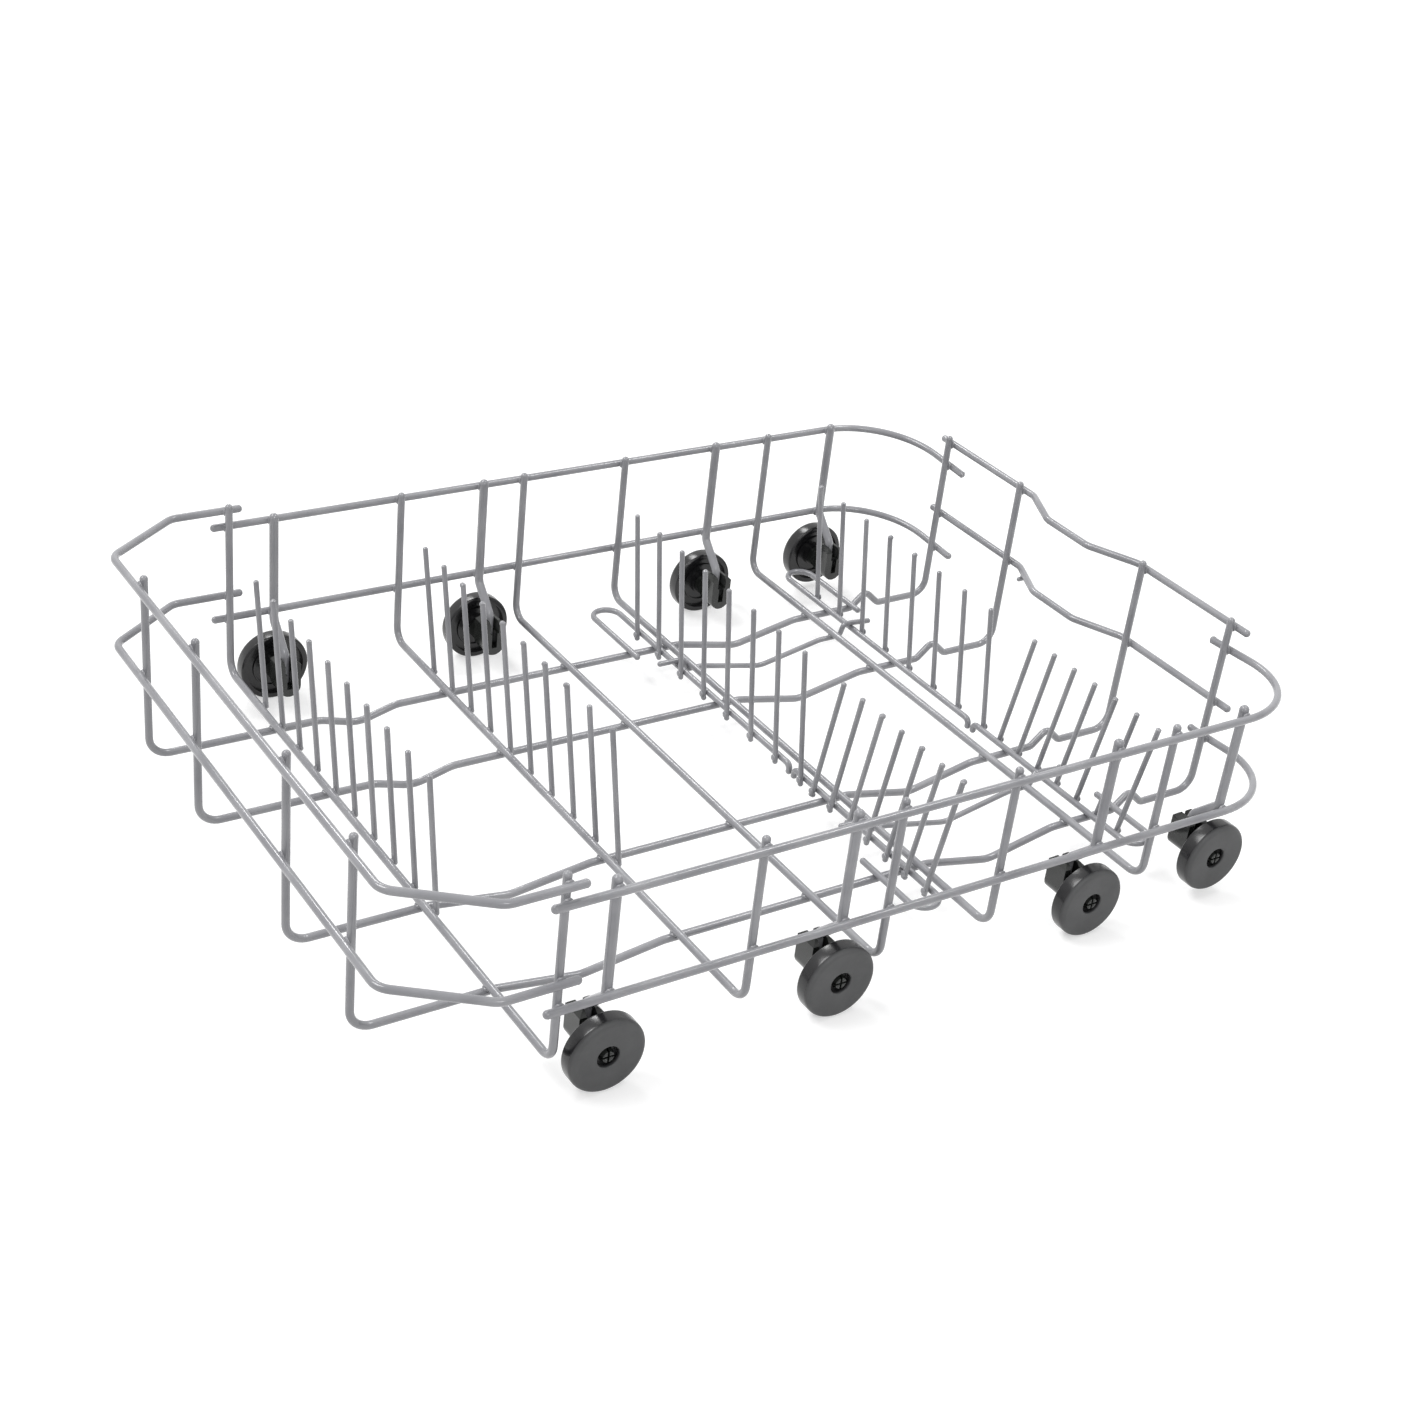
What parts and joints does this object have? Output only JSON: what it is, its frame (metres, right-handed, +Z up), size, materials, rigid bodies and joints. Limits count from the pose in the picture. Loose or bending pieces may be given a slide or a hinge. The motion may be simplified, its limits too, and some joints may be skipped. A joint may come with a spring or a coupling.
{
  "type": "dishwasher basket",
  "caption": "Lower dishwasher basket of grey coated wire with fixed and fold-down plate tines, a recessed rear rail and dark wheels on clip-on carriers.",
  "frame": {"origin": "on the floor, under the middle of the basket's outline", "axes": "+X to the right seen from the front, +Y from the front to the recessed rear, +Z up"},
  "size_m": [0.3898, 0.528, 0.1264],
  "materials": {
    "coated_wire": "satin",
    "wheel_plastic": "matte",
    "carrier_plastic": "satin"
  },
  "bodies": {
    "basket": {"cross_wire_1": "coated_wire", "cross_wire_2": "coated_wire", "cross_wire_3": "coated_wire", "cross_wire_4": "coated_wire", "cross_wire_5": "coated_wire", "long_wire_1": "coated_wire", "long_wire_2": "coated_wire", "long_wire_3": "coated_wire", "long_wire_4": "coated_wire", "hook_wire_left": "coated_wire", "hook_wire_right": "coated_wire", "front_rail_upper": "coated_wire", "front_rail_lower": "coated_wire", "rear_rail_upper": "coated_wire", "rear_rail_lower": "coated_wire", "stop_pin": "coated_wire", "side_rail_left_upper": "coated_wire", "side_rail_left_lower": "coated_wire", "side_rail_right_upper": "coated_wire", "side_rail_right_lower": "coated_wire", "hanger_left_1": "coated_wire", "hanger_left_2": "coated_wire", "hanger_left_3": "coated_wire", "hanger_left_4": "coated_wire", "hanger_right_1": "coated_wire", "hanger_right_2": "coated_wire", "hanger_right_3": "coated_wire", "hanger_right_4": "coated_wire", "tine_row_1": "coated_wire", "tine_row_2": "coated_wire", "wheel_carrier_left_1": "carrier_plastic", "wheel_carrier_left_2": "carrier_plastic", "wheel_carrier_left_3": "carrier_plastic", "wheel_carrier_left_4": "carrier_plastic", "wheel_carrier_right_1": "carrier_plastic", "wheel_carrier_right_2": "carrier_plastic", "wheel_carrier_right_3": "carrier_plastic", "wheel_carrier_right_4": "carrier_plastic"},
    "rack_front_left": {"rack_front_left_axis": "coated_wire", "rack_front_left_tines": "coated_wire"},
    "rack_front_right": {"rack_front_right_axis": "coated_wire", "rack_front_right_tines": "coated_wire"},
    "rack_rear_left": {"rack_rear_left_axis": "coated_wire", "rack_rear_left_tines": "coated_wire"},
    "rack_rear_right": {"rack_rear_right_axis": "coated_wire", "rack_rear_right_tines": "coated_wire"},
    "wheel_left_1": {"wheel_left_1": "wheel_plastic"},
    "wheel_left_2": {"wheel_left_2": "wheel_plastic"},
    "wheel_left_3": {"wheel_left_3": "wheel_plastic"},
    "wheel_left_4": {"wheel_left_4": "wheel_plastic"},
    "wheel_right_1": {"wheel_right_1": "wheel_plastic"},
    "wheel_right_2": {"wheel_right_2": "wheel_plastic"},
    "wheel_right_3": {"wheel_right_3": "wheel_plastic"},
    "wheel_right_4": {"wheel_right_4": "wheel_plastic"}
  },
  "joints": [
    {"name": "rack_front_left_fold", "type": "hinge", "parent": "basket", "child": "rack_front_left", "pos_m": [0, 0.0533, 0.0218], "axis": [-1, 0, 0], "range_deg": [0, 78]},
    {"name": "rack_front_right_fold", "type": "hinge", "parent": "basket", "child": "rack_front_right", "pos_m": [0, 0.0533, 0.0218], "axis": [-1, 0, 0], "range_deg": [0, 78]},
    {"name": "rack_rear_left_fold", "type": "hinge", "parent": "basket", "child": "rack_rear_left", "pos_m": [0, 0.1795, 0.0218], "axis": [1, 0, 0], "range_deg": [0, 85]},
    {"name": "rack_rear_right_fold", "type": "hinge", "parent": "basket", "child": "rack_rear_right", "pos_m": [0, 0.1795, 0.0218], "axis": [1, 0, 0], "range_deg": [0, 85]},
    {"name": "wheel_left_1_spin", "type": "hinge", "parent": "basket", "child": "wheel_left_1", "pos_m": [-0.189, -0.1623, 0.02], "axis": [1, 0, 0], "continuous": true},
    {"name": "wheel_left_2_spin", "type": "hinge", "parent": "basket", "child": "wheel_left_2", "pos_m": [-0.189, -0.0335, 0.02], "axis": [1, 0, 0], "continuous": true},
    {"name": "wheel_left_3_spin", "type": "hinge", "parent": "basket", "child": "wheel_left_3", "pos_m": [-0.189, 0.1257, 0.02], "axis": [1, 0, 0], "continuous": true},
    {"name": "wheel_left_4_spin", "type": "hinge", "parent": "basket", "child": "wheel_left_4", "pos_m": [-0.189, 0.2119, 0.0245], "axis": [1, 0, 0], "continuous": true},
    {"name": "wheel_right_1_spin", "type": "hinge", "parent": "basket", "child": "wheel_right_1", "pos_m": [0.189, -0.1623, 0.02], "axis": [1, 0, 0], "continuous": true},
    {"name": "wheel_right_2_spin", "type": "hinge", "parent": "basket", "child": "wheel_right_2", "pos_m": [0.189, -0.0335, 0.02], "axis": [1, 0, 0], "continuous": true},
    {"name": "wheel_right_3_spin", "type": "hinge", "parent": "basket", "child": "wheel_right_3", "pos_m": [0.189, 0.1257, 0.02], "axis": [1, 0, 0], "continuous": true},
    {"name": "wheel_right_4_spin", "type": "hinge", "parent": "basket", "child": "wheel_right_4", "pos_m": [0.189, 0.2119, 0.0245], "axis": [1, 0, 0], "continuous": true}
  ]
}
